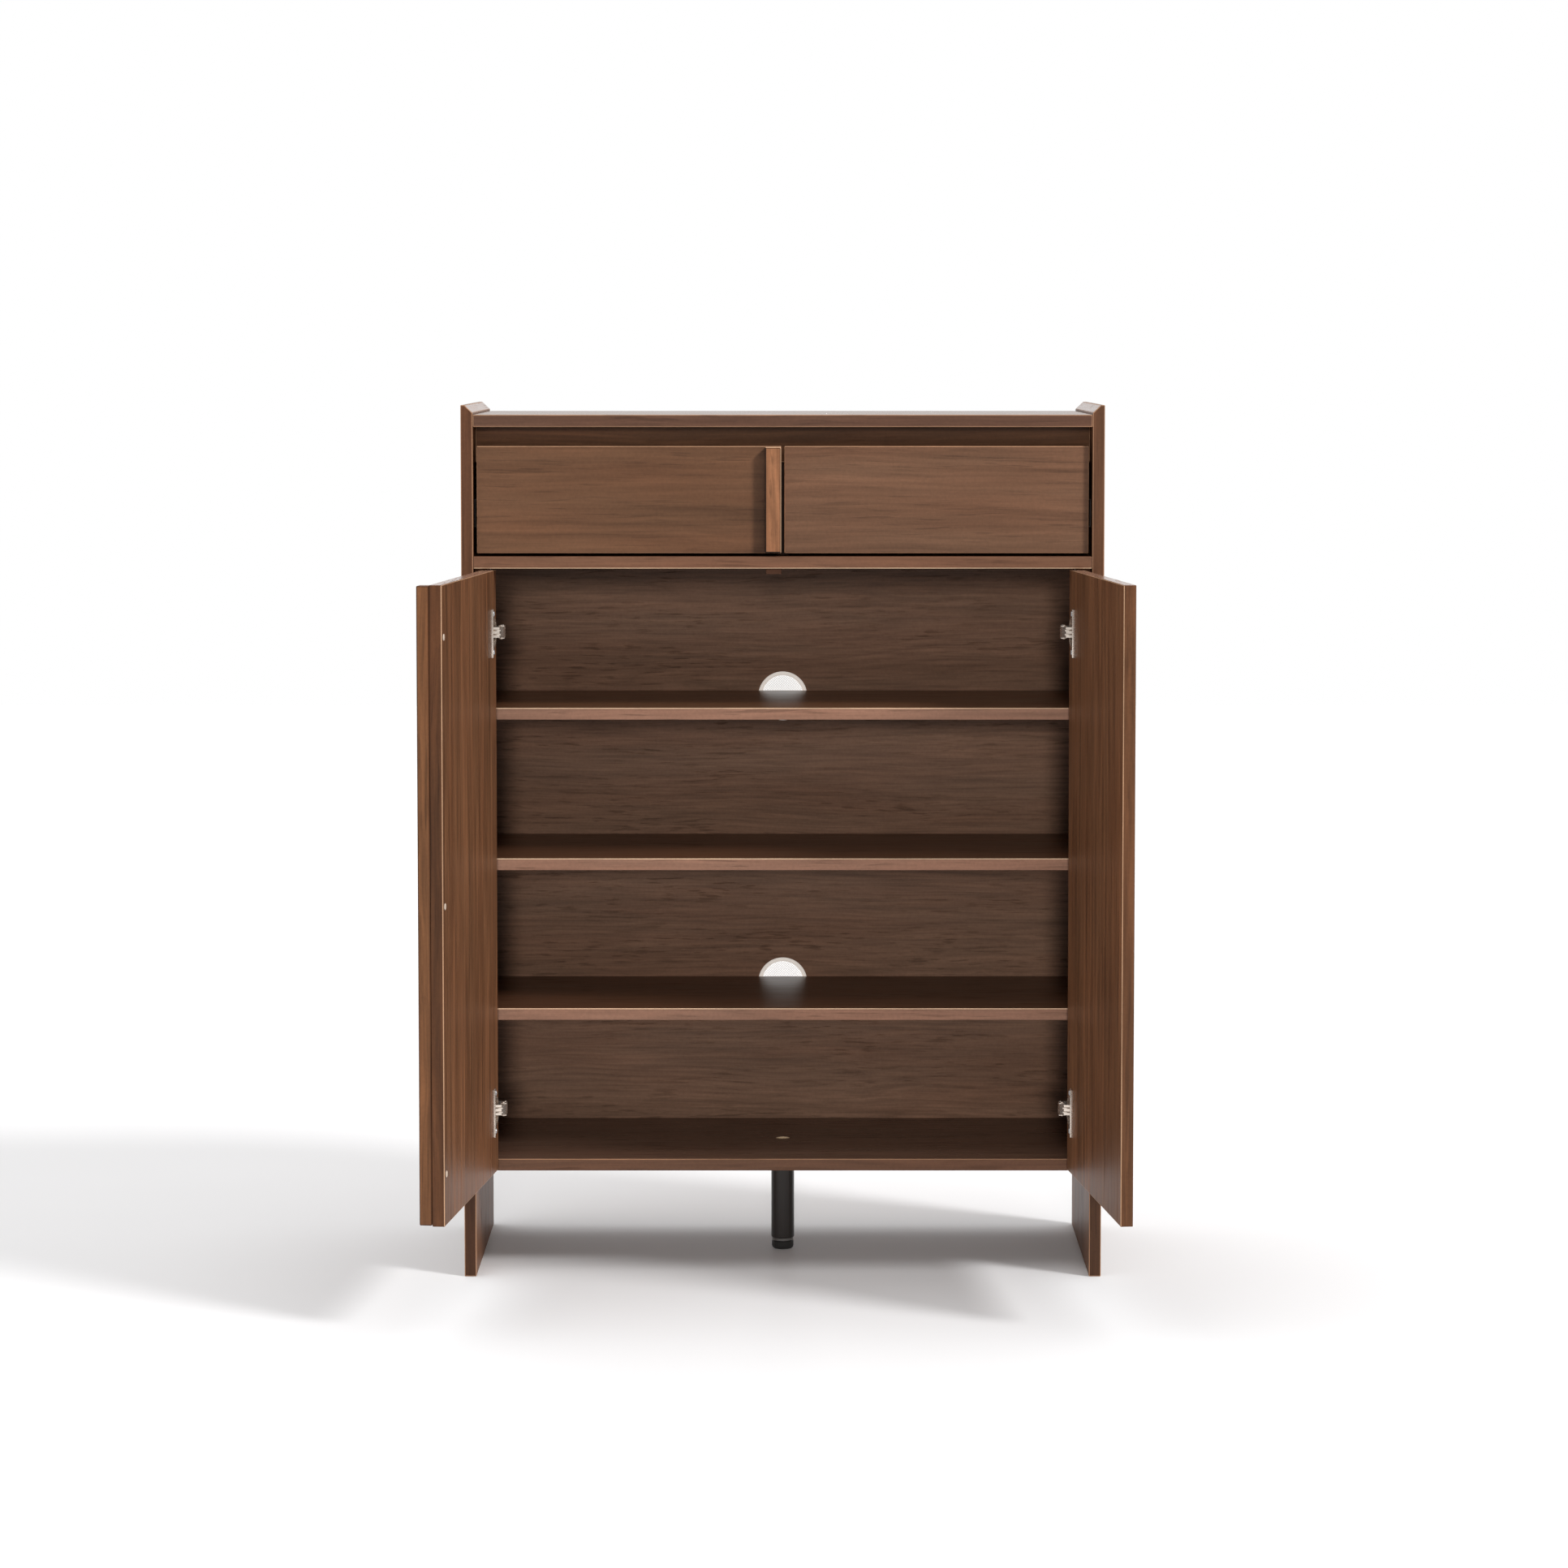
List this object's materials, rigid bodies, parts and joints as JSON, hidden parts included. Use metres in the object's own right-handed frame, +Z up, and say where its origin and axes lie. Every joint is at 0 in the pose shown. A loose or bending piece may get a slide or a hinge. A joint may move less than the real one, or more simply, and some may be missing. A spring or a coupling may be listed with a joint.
{
  "type": "shoe cabinet",
  "caption": "Walnut-finish shoe cabinet: drawers above an inset pair of doors, fixed shelves behind, floor-standing side panels and a middle leg.",
  "frame": {"origin": "on the floor, at the centre of the middle leg's foot, which is mid-width and 185 mm behind the front plane", "axes": "+Z up, +X to the right as seen from the front, +Y to the back, so the doors and drawers face -Y"},
  "size_m": [0.8406, 0.7032, 1.094],
  "materials": {
    "walnut": "walnut veneer on board, satin lacquer",
    "walnut_handle": "solid walnut, oiled, a little lighter and redder than the boards",
    "drawer_lining": "plain matt board",
    "nickel": "nickel-plated steel, satin",
    "zinc": "zinc-plated steel",
    "black_steel": "black powder coat, fine satin",
    "black_plastic": "matt black nylon",
    "cream_plastic": "off-white moulded plastic",
    "brown_plastic": "brown moulded plastic"
  },
  "bodies": {
    "carcass": {"side_panel_left": "walnut", "side_panel_right": "walnut", "top_panel": "walnut", "middle_panel": "walnut", "bottom_panel": "walnut", "back_panel": "walnut", "shelf_upper": "walnut", "shelf_middle": "walnut", "shelf_lower": "walnut", "drawer_rail": "walnut", "drawer_partition": "walnut", "leg_tube": "black_steel", "leg_stud": "zinc", "leg_glide": "black_plastic", "leg_bolt": "zinc", "vent_upper": "cream_plastic", "vent_lower": "cream_plastic", "door_stop": "brown_plastic", "hinge_arm_left_upper": "nickel", "hinge_arm_left_lower": "nickel", "hinge_arm_right_upper": "nickel", "hinge_arm_right_lower": "nickel", "hinge_plate_left_upper": "nickel", "hinge_plate_left_lower": "nickel", "hinge_plate_right_upper": "nickel", "hinge_plate_right_lower": "nickel", "hinge_pin_left_upper": "nickel", "hinge_pin_left_lower": "nickel", "hinge_pin_right_upper": "nickel", "hinge_pin_right_lower": "nickel", "runner_outer_left_left": "zinc", "runner_outer_left_right": "zinc", "runner_outer_right_left": "zinc", "runner_outer_right_right": "zinc"},
    "door_left": {"door_left": "walnut", "door_handle": "walnut_handle", "handle_screw_top": "cream_plastic", "handle_screw_middle": "cream_plastic", "handle_screw_bottom": "cream_plastic", "hinge_cup_left_upper": "nickel", "hinge_cup_left_lower": "nickel"},
    "door_right": {"door_right": "walnut", "hinge_cup_right_upper": "nickel", "hinge_cup_right_lower": "nickel"},
    "drawer_left": {"drawer_left_front": "walnut", "drawer_left_side_left": "drawer_lining", "drawer_left_side_right": "drawer_lining", "drawer_left_back": "drawer_lining", "drawer_left_bottom": "drawer_lining", "runner_inner_left_left": "zinc", "runner_inner_left_right": "zinc", "drawer_handle": "walnut_handle"},
    "drawer_right": {"drawer_right_front": "walnut", "drawer_right_side_left": "drawer_lining", "drawer_right_side_right": "drawer_lining", "drawer_right_back": "drawer_lining", "drawer_right_bottom": "drawer_lining", "runner_inner_right_left": "zinc", "runner_inner_right_right": "zinc"}
  },
  "joints": [
    {"name": "door_left_swing", "type": "hinge", "parent": "carcass", "child": "door_left", "pos_m": [-0.368, -0.1784, 0.5105], "axis": [0, 0, 1], "range_deg": [0, 96]},
    {"name": "door_right_swing", "type": "hinge", "parent": "carcass", "child": "door_right", "pos_m": [0.368, -0.1784, 0.5105], "axis": [0, 0, -1], "range_deg": [0, 96]},
    {"name": "drawer_left_slide", "type": "slide", "parent": "carcass", "child": "drawer_left", "axis": [0, -1, 0], "range_m": [0, 0.22]},
    {"name": "drawer_right_slide", "type": "slide", "parent": "carcass", "child": "drawer_right", "axis": [0, -1, 0], "range_m": [0, 0.22]}
  ]
}
